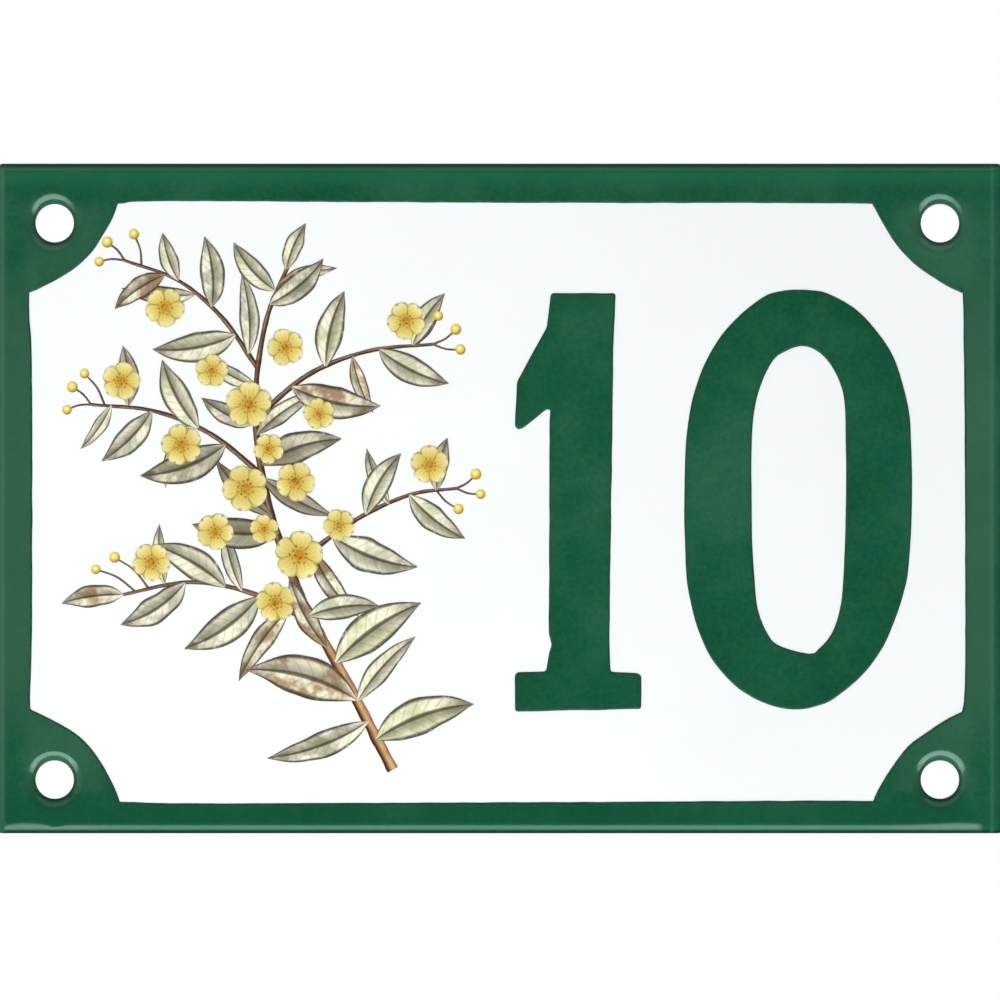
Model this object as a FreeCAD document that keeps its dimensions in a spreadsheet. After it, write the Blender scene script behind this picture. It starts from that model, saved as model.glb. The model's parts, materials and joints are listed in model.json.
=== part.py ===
"""House number plaque: a small steel plate, enamelled, with its edges folded back to stand off the wall.

Frame: X to the right and Z up as the plaque hangs, Y into the wall. The wall is the plane Y = 0, where the
folded rim rests, and the origin is the middle of the plate's outline on that plane. The front faces -Y.
The plate is one solid. Its white field lies one coat of enamel lower than the green border and numerals.
Lengths are in millimetres. In every sketch on the front, across is X and up is Z.
"""

import FreeCAD, Part
import math
import os
import PartDesign
import Sketcher

DRIVING_SIZES = {
    # the folded plate
    "plate_width": 150.0,
    "plate_height": 100.0,
    "plate_depth": 4.0,
    "sheet_gauge": 1.2,
    "bend_inside": 0.3,
    "rim_bevel": 0.2,
    # the screw holes, dished so that a screw's head doesn't crack the enamel
    "hole_diameter": 5.7,
    "hole_from_left": 8.5,
    "hole_from_right": 9.3,
    "hole_from_top": 8.9,
    "hole_from_bottom": 8.0,
    "dish_radius": 4.6,
    "dish_depth": 0.44,
    "throat_ease": 0.6,
    "throat_ease_depth": 0.86,
    "collar_wall": 1.1,
    "collar_height": 0.9,
    "collar_flare": 1.6,
    # the white field
    "coat_thickness": 0.2,
    "coat_shoulder": 0.15,
    "border_left": 5.1,
    "border_right": 5.7,
    "border_top": 5.85,
    "border_bottom": 4.7,
    "left_scallop_radius": 15.1,
    "left_scallop_out": 2.7,
    "left_scallop_rise": 2.0,
    "right_scallop_radius": 19.3,
    "right_scallop_out": 5.3,
    "right_scallop_rise": 5.2,
    # the numeral nought
    "nought_from_border": 7.7,
    "nought_rise": 0.3,
    "nought_width": 34.0,
    "nought_height": 62.7,
    "nought_shoulder": 2.4,
    "nought_side_stroke": 9.95,
    "nought_end_stroke": 8.45,
    "counter_shoulder": 1.15,
    # the numeral one
    "numeral_gap": 6.5,
    "one_height": 62.2,
    "foot_width": 18.9,
    "foot_height": 5.5,
    "stem_from_left": 5.2,
    "stem_foot_width": 9.0,
    "stem_top_width": 9.8,
    "flag_shoulder_drop": 13.2,
    "flag_notch_drop": 17.3,
    "flag_tip_drop": 20.3,
    # the spray printed on the left of the field: its sheet's origin, and the thickness of its first colour
    "spray_from_border": 69.9,
    "colour_thickness": 0.03,
}

# The spray's stems: the points that each follows, and its widths at its foot and at its tip.
MAIN_STEM = ([(-16.0, -40.5), (-22.5, -28.0), (-29.5, -15.0), (-34.5, -1.0), (-36.5, 13.0), (-35.0, 26.0),
              (-31.5, 35.0)], 1.7, 0.6)
BRANCHES = [
    ([(-27.5, -19.0), (-36.0, -14.5), (-46.0, -12.5), (-57.0, -14.5)], 0.9, 0.45),
    ([(-31.5, -10.5), (-22.0, -3.5), (-13.5, 0.5), (-6.5, 1.5)], 0.9, 0.45),
    ([(-35.5, 3.5), (-43.0, 9.5), (-51.5, 13.0), (-61.0, 14.0)], 0.9, 0.45),
    ([(-36.4, 12.0), (-28.5, 18.5), (-19.5, 22.0), (-10.0, 23.0)], 0.9, 0.45),
    ([(-36.2, 19.5), (-41.5, 27.0), (-48.0, 32.5), (-56.0, 35.5)], 0.8, 0.45),
]
# Its leaves: each one's foot, its direction in degrees, its length, and how far its middle bows to the left as a
# share of its length.
LEAVES = [
    (-18.5, -36.0, 20, 15.5, 0.07), (-21.5, -30.0, 165, 17.0, -0.08), (-24.5, -24.5, 35, 15.5, 0.06),
    (-28.5, -17.5, 8, 10.5, 0.06), (-36.0, -14.7, 215, 13.5, 0.07), (-41.0, -13.2, 150, 12.5, -0.06),
    (-47.0, -12.6, 213, 11.5, 0.08), (-56.2, -14.4, 188, 9.3, -0.05), (-25.0, -5.6, -20, 13.5, -0.07),
    (-20.0, -2.4, 60, 10.5, 0.07), (-13.5, 0.5, -38, 10.5, -0.06), (-9.5, 1.2, 78, 8.0, 0.05),
    (-33.0, -5.0, 175, 13.0, 0.06), (-35.5, 5.0, 18, 12.5, 0.07), (-41.0, 8.0, 200, 13.5, 0.08),
    (-45.0, 10.5, 118, 11.5, 0.06), (-52.0, 13.0, 225, 10.5, 0.06), (-55.5, 13.8, 95, 9.0, -0.05),
    (-37.0, 11.0, 152, 8.5, 0.05), (-31.0, 16.6, -12, 13.5, -0.07), (-26.0, 19.7, 76, 11.5, 0.06),
    (-18.0, 22.2, -26, 11.5, -0.06), (-13.0, 22.9, 58, 9.0, 0.06), (-39.5, 24.4, 190, 12.5, 0.07),
    (-43.0, 28.6, 96, 10.5, -0.06), (-50.0, 33.3, 214, 9.0, -0.06), (-48.0, 32.5, 108, 7.5, 0.05),
    (-34.4, 29.0, 40, 10.5, -0.07), (-33.5, 31.0, 131, 9.5, 0.07), (-31.9, 34.1, 67, 7.5, 0.05),
]
# A leaf's half: shares of its length, and of its half width there.
LEAF_HALF = [(0.2, 0.75), (0.45, 1.0), (0.75, 0.6)]
LEAF_WIDTH_SHARE = 0.36
# Its flowers: each one's middle, its radius and its turn in degrees.
FLOWERS = [
    (-30.0, -8.5, 3.7, 10), (-38.0, 1.5, 3.5, 40), (-30.5, 2.5, 3.0, 62), (-33.5, -15.5, 3.0, 28),
    (-52.0, -9.5, 2.9, 55), (-56.5, 17.5, 2.9, 5), (-47.5, 8.0, 3.1, 33), (-10.5, 5.0, 2.9, 20),
    (-14.0, 26.5, 2.9, 48), (-37.5, 14.0, 3.5, 15), (-50.0, 28.5, 3.0, 60), (-32.0, 22.5, 2.8, 36),
    (-42.5, -5.0, 2.8, 66), (-34.5, 7.4, 2.3, 50), (-35.2, -4.6, 2.2, 22), (-24.0, -4.0, 2.4, 44),
    (-43.0, 19.0, 2.5, 12), (-27.0, 12.6, 2.4, 30),
]
# Its buds: each one's middle and its radius.
BUDS = [
    (-3.6, 3.6, 0.8), (-2.9, 0.6, 0.7), (-6.2, -1.6, 0.75), (-6.6, 25.2, 0.8), (-5.9, 22.2, 0.75),
    (-9.2, 27.2, 0.7), (-63.8, 16.6, 0.8), (-64.6, 13.2, 0.7), (-62.0, 18.6, 0.7), (-58.6, 38.2, 0.8),
    (-59.8, 35.3, 0.7), (-54.6, 39.4, 0.75), (-57.5, -8.8, 0.8), (-60.3, -10.6, 0.7),
]

# how far a cutting profile runs past the face that it starts from
OVERCUT = 0.5
# how near a face or an edge lies to the plane that it is looked for on
NEAR = 1e-4

START, END, MIDDLE = range(1, 4)
SKETCH_ORIGIN = (-1, 1)


class Size:
    """A length, with the formula that gives it from the sheet."""

    def __init__(self, value, formula):
        self.value = value
        self.formula = formula

    def combined(self, sign, other, value):
        if isinstance(other, Size):
            return Size(value, f"({self.formula} {sign} {other.formula})")
        return Size(value, f"({self.formula} {sign} {other})")

    def __add__(self, other):
        return self.combined("+", other, self.value + number(other))

    def __sub__(self, other):
        return self.combined("-", other, self.value - number(other))

    def __mul__(self, other):
        return self.combined("*", other, self.value * number(other))

    def __truediv__(self, other):
        return self.combined("/", other, self.value / number(other))

    def __neg__(self):
        return Size(-self.value, f"(0 - {self.formula})")


def number(quantity):
    return quantity.value if isinstance(quantity, Size) else quantity


def size(name):
    """A driving size, read from its cell."""
    return Size(DRIVING_SIZES[name], f"dims.{name}")


def make_sheet(doc):
    """The spreadsheet that holds every driving size under its own name."""
    sheet = doc.addObject("Spreadsheet::Sheet", "dims")
    for row, (name, value) in enumerate(DRIVING_SIZES.items(), start=1):
        sheet.set(f"A{row}", name)
        sheet.set(f"B{row}", str(value))
        sheet.setAlias(f"B{row}", name)
    doc.recompute()


class Outline:
    """A sketch on one of the body's origin planes, whose every measure is a formula of the sheet."""

    def __init__(self, body, name, plane, lift):
        self.sketch = body.newObject("Sketcher::SketchObject", name)
        planes = {feature.Role: feature for feature in body.Origin.OriginFeatures}
        self.sketch.AttachmentSupport = (planes[plane], [""])
        self.sketch.MapMode = "FlatFace"
        for axis, distance in zip("xyz", lift):
            self.sketch.setExpression(f"AttachmentOffset.Base.{axis}", distance.formula)
        self.measures = 0

    def constrain(self, kind, *references):
        self.sketch.addConstraint(Sketcher.Constraint(kind, *references))

    def measure(self, kind, references, length):
        """Gives a distance or a radius its formula."""
        index = self.sketch.addConstraint(Sketcher.Constraint(kind, *references, length.value))
        label = f"measure{self.measures}"
        self.measures += 1
        self.sketch.renameConstraint(index, label)
        self.sketch.setExpression(f"Constraints.{label}", length.formula)

    def place(self, point, across, up):
        """Sets a point's place from the sketch's origin."""
        self.measure("DistanceX", (*SKETCH_ORIGIN, *point), across)
        self.measure("DistanceY", (*SKETCH_ORIGIN, *point), up)

    def line(self, start, end):
        ends = [FreeCAD.Vector(number(across), number(up), 0) for across, up in (start, end)]
        return self.sketch.addGeometry(Part.LineSegment(*ends), False)

    def arc(self, centre, radius, first, last):
        """An arc about a centre, from the angle first anticlockwise to last."""
        middle = FreeCAD.Vector(number(centre[0]), number(centre[1]), 0)
        circle = Part.Circle(middle, FreeCAD.Vector(0, 0, 1), number(radius))
        return self.sketch.addGeometry(Part.ArcOfCircle(circle, first, last), False)

    def polygon(self, corners):
        """A closed chain of straight lines, with every corner placed."""
        following = corners[1:] + corners[:1]
        lines = [self.line(corner, other) for corner, other in zip(corners, following)]
        for line, after in zip(lines, lines[1:] + lines[:1]):
            self.constrain("Coincident", line, END, after, START)
        for line, corner in zip(lines, corners):
            self.place((line, START), *corner)

    def fixed_polygons(self, shapes):
        """Closed chains of straight lines, fixed where they are drawn."""
        lines = []
        for corners in shapes:
            places = [FreeCAD.Vector(across, up, 0) for across, up in corners]
            lines += [Part.LineSegment(*ends) for ends in zip(places, places[1:] + places[:1])]
        self.sketch.addGeometry(lines, False)
        self.sketch.addConstraint([Sketcher.Constraint("Block", index) for index in range(len(lines))])

    def oval(self, across, up, width, height, shoulder):
        """An oval of four arcs in smooth contact. Its ends' radius is half its width less the shoulder."""
        end_radius = width / 2 - shoulder
        reach = height / 2 - end_radius
        side_radius = ((width / 2 * width / 2 + reach * reach - end_radius * end_radius)
                       / (shoulder * 2))
        side_offset = side_radius - width / 2
        meet = math.atan2(reach.value, side_offset.value)
        arcs = [
            self.arc((across - side_offset, up), side_radius, -meet, meet),
            self.arc((across, up + reach), end_radius, meet, math.pi - meet),
            self.arc((across + side_offset, up), side_radius, math.pi - meet, math.pi + meet),
            self.arc((across, up - reach), end_radius, math.pi + meet, 2 * math.pi - meet),
        ]
        for arc, after in zip(arcs, arcs[1:] + arcs[:1]):
            self.constrain("Tangent", arc, END, after, START)
        right, top, left, bottom = arcs
        self.place((top, MIDDLE), across, up + reach)
        self.place((bottom, MIDDLE), across, up - reach)
        for arc in (top, bottom):
            self.measure("Radius", (arc,), end_radius)
        for arc in (right, left):
            self.measure("Radius", (arc,), side_radius)


def add_feature(body, kind, name, **settings):
    """A feature at the body's tip. A setting that is a Size is bound to the sheet."""
    feature = body.newObject(f"PartDesign::{kind}", name)
    for setting, content in settings.items():
        if isinstance(content, Size):
            feature.setExpression(setting, content.formula)
        else:
            setattr(feature, setting, content)
    body.Document.recompute()
    return feature


def edges_at(shape, depth):
    """The names of the edges that lie in the plane Y = depth."""
    names = []
    for index, edge in enumerate(shape.Edges, start=1):
        box = edge.BoundBox
        if abs(box.YMin - depth) < NEAR and abs(box.YMax - depth) < NEAR:
            names.append(f"Edge{index}")
    return names


def same_place(edge, shape):
    """Whether the edge's middle lies where the shape had an edge already."""
    middle = edge.valueAt((edge.FirstParameter + edge.LastParameter) / 2)
    return any(old.distToShape(Part.Vertex(middle))[0] < NEAR for old in shape.Edges)


def edges_along_depth(shape):
    """The names of the straight edges that run from the front to the back."""
    names = []
    for index, edge in enumerate(shape.Edges, start=1):
        box = edge.BoundBox
        if box.XLength < NEAR and box.ZLength < NEAR:
            names.append(f"Edge{index}")
    return names


ZERO = Size(0.0, "0")

half_width = size("plate_width") / 2
half_height = size("plate_height") / 2
field_left = size("border_left") - half_width
field_right = half_width - size("border_right")
field_bottom = size("border_bottom") - half_height
field_top = half_height - size("border_top")
field_middle = (field_bottom + field_top) / 2


def rectangle(outline, half_across, half_up):
    """A rectangle round the sketch's origin."""
    outline.polygon([(-half_across, -half_up), (half_across, -half_up),
                     (half_across, half_up), (-half_across, half_up)])


def fold_plate(body):
    """The pan: a blank with its edges and corners bent back at one radius, hollow behind, with an eased rim."""
    wall = Outline(body, "plate_outline", "XZ_Plane", (ZERO, ZERO, ZERO))
    rectangle(wall, half_width, half_height)
    blank = add_feature(body, "Pad", "blank", Profile=wall.sketch, Length=size("plate_depth"))
    front = -DRIVING_SIZES["plate_depth"]
    outer_edges = edges_along_depth(blank.Shape) + edges_at(blank.Shape, front)
    add_feature(body, "Fillet", "outer_bends", Base=(blank, outer_edges),
                Radius=size("bend_inside") + size("sheet_gauge"))

    hollow = Outline(body, "hollow_outline", "XZ_Plane", (ZERO, ZERO, ZERO))
    rectangle(hollow, half_width - size("sheet_gauge"), half_height - size("sheet_gauge"))
    pan = add_feature(body, "Pocket", "pan", Profile=hollow.sketch, Reversed=True,
                      Length=size("plate_depth") - size("sheet_gauge"))
    inner_face = front + DRIVING_SIZES["sheet_gauge"]
    inner_edges = edges_along_depth(pan.Shape) + edges_at(pan.Shape, inner_face)
    folded = add_feature(body, "Fillet", "inner_bends", Base=(pan, inner_edges), Radius=size("bend_inside"))
    add_feature(body, "Chamfer", "eased_rim", Base=(folded, edges_at(folded.Shape, 0.0)), Size=size("rim_bevel"))


def scallop(outline, centre, radius, first, last):
    """A hollow corner of the white field, swung round a centre outside it."""
    arc = outline.arc(centre, radius, first, last)
    outline.place((arc, MIDDLE), *centre)
    outline.measure("Radius", (arc,), radius)
    return arc


def field_window(outline):
    """The edge of the green border: a rectangle whose corners are cut back around the screw holes."""
    left_radius, left_out, left_rise = (size(f"left_scallop_{part}") for part in ("radius", "out", "rise"))
    right_radius, right_out, right_rise = (size(f"right_scallop_{part}") for part in ("radius", "out", "rise"))

    def spread(radius, out, rise):
        """The angles below the horizontal at which a corner's arc starts on the side and ends on the top."""
        on_side = math.acos(out.value / radius.value)
        on_top = math.asin(rise.value / radius.value)
        return on_side, on_top

    left_side, left_top = spread(left_radius, left_out, left_rise)
    right_side, right_top = spread(right_radius, right_out, right_rise)
    turn = 2 * math.pi
    bottom_left = scallop(outline, (field_left - left_out, field_bottom - left_rise), left_radius, left_top, left_side)
    bottom_right = scallop(outline, (field_right + right_out, field_bottom - right_rise), right_radius,
                           math.pi - right_side, math.pi - right_top)
    top_right = scallop(outline, (field_right + right_out, field_top + right_rise), right_radius,
                        math.pi + right_top, math.pi + right_side)
    top_left = scallop(outline, (field_left - left_out, field_top + left_rise), left_radius,
                       turn - left_side, turn - left_top)

    def point(arc, end):
        place = outline.sketch.getPoint(arc, end)
        return place.x, place.y

    sides = [
        (bottom_left, START, bottom_right, END, "Horizontal", field_bottom),
        (bottom_right, START, top_right, END, "Vertical", field_right),
        (top_right, START, top_left, END, "Horizontal", field_top),
        (top_left, START, bottom_left, END, "Vertical", field_left),
    ]
    for arc, arc_end, other, other_end, direction, distance in sides:
        side = outline.line(point(arc, arc_end), point(other, other_end))
        outline.constrain("Coincident", arc, arc_end, side, START)
        outline.constrain("Coincident", side, END, other, other_end)
        outline.constrain(direction, side)
        kind = "DistanceY" if direction == "Horizontal" else "DistanceX"
        outline.measure(kind, (*SKETCH_ORIGIN, side, START), distance)


def numeral_nought(outline):
    """A tall nought with a narrow counter, set in from the border. Gives its left side."""
    across = field_right - size("nought_from_border") - size("nought_width") / 2
    up = field_middle + size("nought_rise")
    outline.oval(across, up, size("nought_width"), size("nought_height"), size("nought_shoulder"))
    counter_width = size("nought_width") - size("nought_side_stroke") * 2
    counter_height = size("nought_height") - size("nought_end_stroke") * 2
    outline.oval(across, up, counter_width, counter_height, size("counter_shoulder"))
    return across - size("nought_width") / 2


def numeral_one(outline, right):
    """A slab one: a stem on a broad foot, with a flag that hangs from its top."""
    left = right - size("foot_width")
    bottom = field_middle - size("one_height") / 2
    top = bottom + size("one_height")
    foot_top = bottom + size("foot_height")
    stem_left = left + size("stem_from_left")
    outline.polygon([
        (left, bottom),
        (right, bottom),
        (right, foot_top),
        (stem_left + size("stem_foot_width"), foot_top),
        (stem_left + size("stem_top_width"), top),
        (stem_left, top),
        (left, top - size("flag_shoulder_drop")),
        (left, top - size("flag_tip_drop")),
        (stem_left, top - size("flag_notch_drop")),
        (stem_left, foot_top),
        (left, foot_top),
    ])


def sink_white_field(body):
    """The white field, one coat lower than the border and the numerals that stand in it."""
    outline = Outline(body, "white_field_outline", "XZ_Plane", (ZERO, ZERO, size("plate_depth")))
    field_window(outline)
    nought_left = numeral_nought(outline)
    numeral_one(outline, nought_left - size("numeral_gap"))
    before = body.Tip.Shape
    field = add_feature(body, "Pocket", "white_field", Profile=outline.sketch, Length=size("coat_thickness"))
    front = -DRIVING_SIZES["plate_depth"]
    coat_edges = [name for name in edges_at(field.Shape, front)
                  if not same_place(field.Shape.getElement(name), before)]
    add_feature(body, "Chamfer", "coat_shoulders", Base=(field, coat_edges), Size=size("coat_shoulder"))


def along(start, direction, distance, aside=0.0):
    """The point at a distance from the start in a direction in degrees, and then aside to the left."""
    turn = math.radians(direction)
    return (start[0] + distance * math.cos(turn) - aside * math.sin(turn),
            start[1] + distance * math.sin(turn) + aside * math.cos(turn))


def stem_shape(points, foot_width, tip_width):
    """A tapering band along the points."""
    left, right = [], []
    for index, point in enumerate(points):
        behind = points[max(index - 1, 0)]
        ahead = points[min(index + 1, len(points) - 1)]
        direction = math.degrees(math.atan2(ahead[1] - behind[1], ahead[0] - behind[0]))
        half = (foot_width + (tip_width - foot_width) * index / (len(points) - 1)) / 2
        right.append(along(point, direction, 0.0, -half))
        left.append(along(point, direction, 0.0, half))
    return right + left[::-1]


def leaf_shape(across, up, direction, length, bow):
    """A pointed leaf of eight corners."""
    half = LEAF_WIDTH_SHARE * length / 2
    foot = (across, up)

    def corner(share, wide):
        return along(foot, direction, share * length, 4 * bow * share * (1 - share) * length + wide * half)

    right = [corner(share, -wide) for share, wide in LEAF_HALF]
    left = [corner(share, wide) for share, wide in reversed(LEAF_HALF)]
    return [foot, *right, along(foot, direction, length), *left]


def flower_shape(across, up, radius, turn):
    """Five blunt petals round a middle."""
    corners = []
    for petal in range(5):
        middle = turn + 72 * petal
        corners += [along((across, up), middle - 17, radius), along((across, up), middle + 17, radius),
                    along((across, up), middle + 36, radius * 0.62)]
    return corners


def bud_shape(across, up, radius):
    return [along((across, up), 45 * corner, radius) for corner in range(8)]


def print_spray(body):
    """The spray on the white field: stems, leaves, then flowers and buds, each colour over the one before."""
    thickness = size("colour_thickness")
    root = size("coat_thickness") / 2
    colours = [
        ("main_stem", thickness, [stem_shape(*MAIN_STEM)]),
        ("branches", thickness * 1.5, [stem_shape(*branch) for branch in BRANCHES]),
        ("leaves", thickness * 2, [leaf_shape(*leaf) for leaf in LEAVES]),
        ("flowers_and_buds", thickness * 3,
         [flower_shape(*flower) for flower in FLOWERS] + [bud_shape(*bud) for bud in BUDS]),
    ]
    for name, level, shapes in colours:
        outline = Outline(body, f"{name}_outline", "XZ_Plane",
                          (field_left + size("spray_from_border"), ZERO,
                           size("plate_depth") - size("coat_thickness") - root))
        outline.fixed_polygons(shapes)
        add_feature(body, "Pad", name, Profile=outline.sketch, Length=level + root)


def hole_step(doc, name, axis, pitch, backwards):
    """One direction of the holes' pattern: a second hole, one pitch away along the axis."""
    step = doc.addObject("PartDesign::LinearPattern", name)
    step.Direction = (axis, [""])
    step.Reversed = backwards
    step.Occurrences = 2
    step.setExpression("Length", pitch.formula)
    return step


def dish_screw_holes(body):
    """The four screw holes: each has a shallow dish in front, an eased straight throat and a collar behind."""
    throat = size("hole_diameter") / 2
    across = size("hole_from_left") - half_width
    up = half_height - size("hole_from_top")
    front = -size("plate_depth")
    collar_foot = front + size("sheet_gauge") / 2
    collar_end = front + size("sheet_gauge") + size("collar_height")
    collar_radius = throat + size("collar_wall")

    # in these two sketches across is Y, up is the distance from the hole's axis, and the sketch's origin is on it
    on_axis = (ZERO, up, across)
    collar = Outline(body, "collar_profile", "YZ_Plane", on_axis)
    collar.polygon([
        (collar_foot, throat / 2),
        (collar_end, throat / 2),
        (collar_end, collar_radius),
        (collar_foot, collar_radius + size("collar_flare")),
    ])
    collar_ring = add_feature(body, "Revolution", "collar", Profile=collar.sketch,
                              ReferenceAxis=(collar.sketch, ["H_Axis"]))

    dish = Outline(body, "dish_profile", "YZ_Plane", on_axis)
    dish.polygon([
        (front - OVERCUT, ZERO),
        (collar_end + OVERCUT, ZERO),
        (collar_end + OVERCUT, throat),
        (front + size("dish_depth") + size("throat_ease_depth"), throat),
        (front + size("dish_depth"), throat + size("throat_ease")),
        (front, size("dish_radius")),
        (front - OVERCUT, size("dish_radius")),
    ])
    dish_cut = add_feature(body, "Groove", "dish", Profile=dish.sketch, ReferenceAxis=(dish.sketch, ["H_Axis"]))

    pattern = body.newObject("PartDesign::MultiTransform", "four_holes")
    pattern.Originals = [collar_ring, dish_cut]
    axes = {feature.Role: feature for feature in body.Origin.OriginFeatures}
    pitch_across = size("plate_width") - size("hole_from_left") - size("hole_from_right")
    pitch_down = size("plate_height") - size("hole_from_top") - size("hole_from_bottom")
    pattern.Transformations = [
        hole_step(body.Document, "to_the_right", axes["X_Axis"], pitch_across, False),
        hole_step(body.Document, "to_the_bottom", axes["Z_Axis"], pitch_down, True),
    ]
    body.Tip = pattern
    body.Document.recompute()


def check(doc, body):
    """Stops on a failed feature, or on a shape that isn't one sound solid."""
    for item in doc.Objects:
        if "Invalid" in item.State or "Error" in item.State:
            raise RuntimeError(f"{item.Name} failed: {item.State}")
    shape = body.Shape
    if shape.isNull() or not shape.isValid() or len(shape.Solids) != 1:
        raise RuntimeError("the plate isn't one valid solid")
    return shape


def main():
    doc = FreeCAD.newDocument("house_number_plaque")
    make_sheet(doc)
    body = doc.addObject("PartDesign::Body", "plate")
    body.Label = "plate"
    fold_plate(body)
    sink_white_field(body)
    print_spray(body)
    dish_screw_holes(body)
    doc.recompute()
    shape = check(doc, body)
    os.makedirs("parts", exist_ok=True)
    shape.exportStep("parts/plate.step")
    print(f"plate: {len(shape.Faces)} faces, {shape.Volume:.1f} cubic mm, box {shape.BoundBox}")


main()
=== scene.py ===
"""An enamelled house number plaque, dressed for its portrait.

Blender's frame is the plaque's own: X to the right, Z up, the front facing -Y, the wall at Y = 0. Sizes below
are in millimetres, and a mesh is scaled to metres when it is made. Outlines on the front are (x, z) points.
"""
import json
import math

import bmesh
import bpy
import numpy as np
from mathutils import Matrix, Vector, noise
from mathutils.geometry import delaunay_2d_cdt


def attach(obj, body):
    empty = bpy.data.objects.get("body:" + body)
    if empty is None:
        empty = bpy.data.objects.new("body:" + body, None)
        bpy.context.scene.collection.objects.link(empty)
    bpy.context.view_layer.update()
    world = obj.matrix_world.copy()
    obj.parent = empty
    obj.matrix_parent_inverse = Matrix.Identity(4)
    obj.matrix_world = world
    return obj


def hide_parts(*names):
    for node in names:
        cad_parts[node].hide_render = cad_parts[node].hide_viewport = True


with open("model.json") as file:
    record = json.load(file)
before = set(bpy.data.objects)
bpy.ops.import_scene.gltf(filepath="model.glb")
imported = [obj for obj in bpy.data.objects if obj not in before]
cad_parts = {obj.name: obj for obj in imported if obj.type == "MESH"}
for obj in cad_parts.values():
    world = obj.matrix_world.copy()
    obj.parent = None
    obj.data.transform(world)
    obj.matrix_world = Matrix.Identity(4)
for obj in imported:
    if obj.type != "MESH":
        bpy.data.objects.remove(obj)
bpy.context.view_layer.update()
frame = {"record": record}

MM = 0.001

# the folded plate
HALF_WIDTH = 75.0
HALF_HEIGHT = 50.0
FRONT = -4.0
GAUGE = 1.2
BEND_INSIDE = 0.3
BEND_OUTSIDE = BEND_INSIDE + GAUGE
WALL_RING = -1.6
RIM_BEVEL = 0.2
BEVEL_MIDDLE = 0.3 * RIM_BEVEL
CORNER = 0.8
# how far in from the bottom edge the points of a round bend lie, and those of the gentler one
BEND_INSETS = [0.0, 0.037, 0.121, 0.251, 0.417, 0.596, 0.672, 0.825, 0.984, 1.153, 1.279, 1.392, 1.5, 1.65, 2.0]
GENTLE_INSETS = [0.0, 0.0, 0.034, 0.134, 0.293, 0.5, 0.6, 0.8, 1.0, 1.2, 1.35, 1.5, 1.65, 1.8, 2.1]
# where the bottom bend is wider or narrower: the place along it, how far that reaches left and right, its share
BEND_UNEVEN = [(-70.8, 2.3, 2.3, 0.3), (69.2, 5.5, 2.6, 0.36), (-66.4, 1.1, 1.1, -0.3)]

# the screw holes: a shallow dish round each, given by its slope in degrees at some radii, and a rounded throat
DISH_RADIUS = 4.75
DISH_SLOPES = [(DISH_RADIUS, 0.0), (4.6, 5.0), (4.35, 12.0), (4.1, 17.5), (3.85, 22.5), (3.6, 28.0), (3.45, 34.0)]
# how far right and up the dishes' outer edges were pressed off the holes' axes: the lower two, then the upper two
DISH_LEAN = [(-0.05, -0.2), (0.12, -0.02), (-0.3, 0.08), (-0.26, 0.04)]
COLLAR_WALL = 1.1
COLLAR_HEIGHT = 0.9
COLLAR_FLARE = 1.0

# the coats of enamel, with a narrow flat strip beside each rounded edge
COAT = 0.2
SHOULDER = 0.28
GUARD = 0.15
WHITE_LEVEL = FRONT + COAT
SUNK = 0.05
# the fired surface's swell: its middle depth, and the reach, length and place in the noise of its two waves
SWELL = 0.03
WAVES = [(0.022, 34.0, 3.7), (0.005, 11.0, 9.1)]
# how far in from a bend, and out from a dish after a small gap, the swell comes in
BEND_EASE = 3.0
DISH_GAP = 0.3
DISH_EASE = 2.0

# how finely the forms are cut
CORNER_STEPS = 10
BEND_STEPS = 12
INSIDE_STEPS = 4
SHOULDER_STEPS = 5
HOLE_STEPS = 72
THROAT_STEPS = 8
CURVE_SPACING = 0.5
SIDE_SPACING = 0.6
COAT_SPACING = 1.6
FIELD_SPACING = 2.0
UNDERSIDE_SPACING = 4.0
BACK_SPACING = 6.0
SHARP_ANGLE = math.radians(40.0)
WELD = 0.002 * MM

# The white field's edge, anticlockwise from the top left. Each stretch is a smooth curve through its points.
FIELD_EDGE = [
    # the hollow corner at the top left, from the top cusp to the left one
    [(-56.98, 43.92), (-57.88, 41.56), (-59.19, 39.38), (-60.86, 36.77), (-63.84, 34), (-68.5, 31.39),
     (-70.21, 30.64)],
    # the left side
    [(-70.21, 30.64), (-70.2, 27.5), (-69.81, 17.66), (-69.81, -18.1), (-70.11, -30.07), (-69.9, -31.56)],
    # the bottom left
    [(-69.9, -31.56), (-66.75, -33.04), (-63.5, -34.98), (-61.16, -37.14), (-59.34, -39.71), (-57.55, -43.02),
     (-56.68, -45.28)],
    # the bottom
    [(-56.68, -45.28), (-44.75, -45.51), (0, -45.37), (44.75, -45.13), (55.64, -45.13)],
    # the bottom right
    [(55.64, -45.13), (56.22, -43.79), (57.71, -41.24), (59.64, -38.49), (61.65, -36.33), (66.27, -33.19),
     (68.91, -31.86)],
    # the right side
    [(68.91, -31.86), (69.25, -29.5), (69.42, -22), (69.3, 10), (69.09, 29), (68.91, 30.64)],
    # the top right
    [(68.91, 30.64), (66.71, 31.67), (64.29, 33.18), (61.65, 35.12), (59.64, 37.22), (57.85, 39.74),
     (55.49, 43.92)],
    # the top
    [(55.49, 43.92), (44, 44.05), (0, 44.1), (-48.5, 44.33), (-56.98, 43.92)],
]

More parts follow.
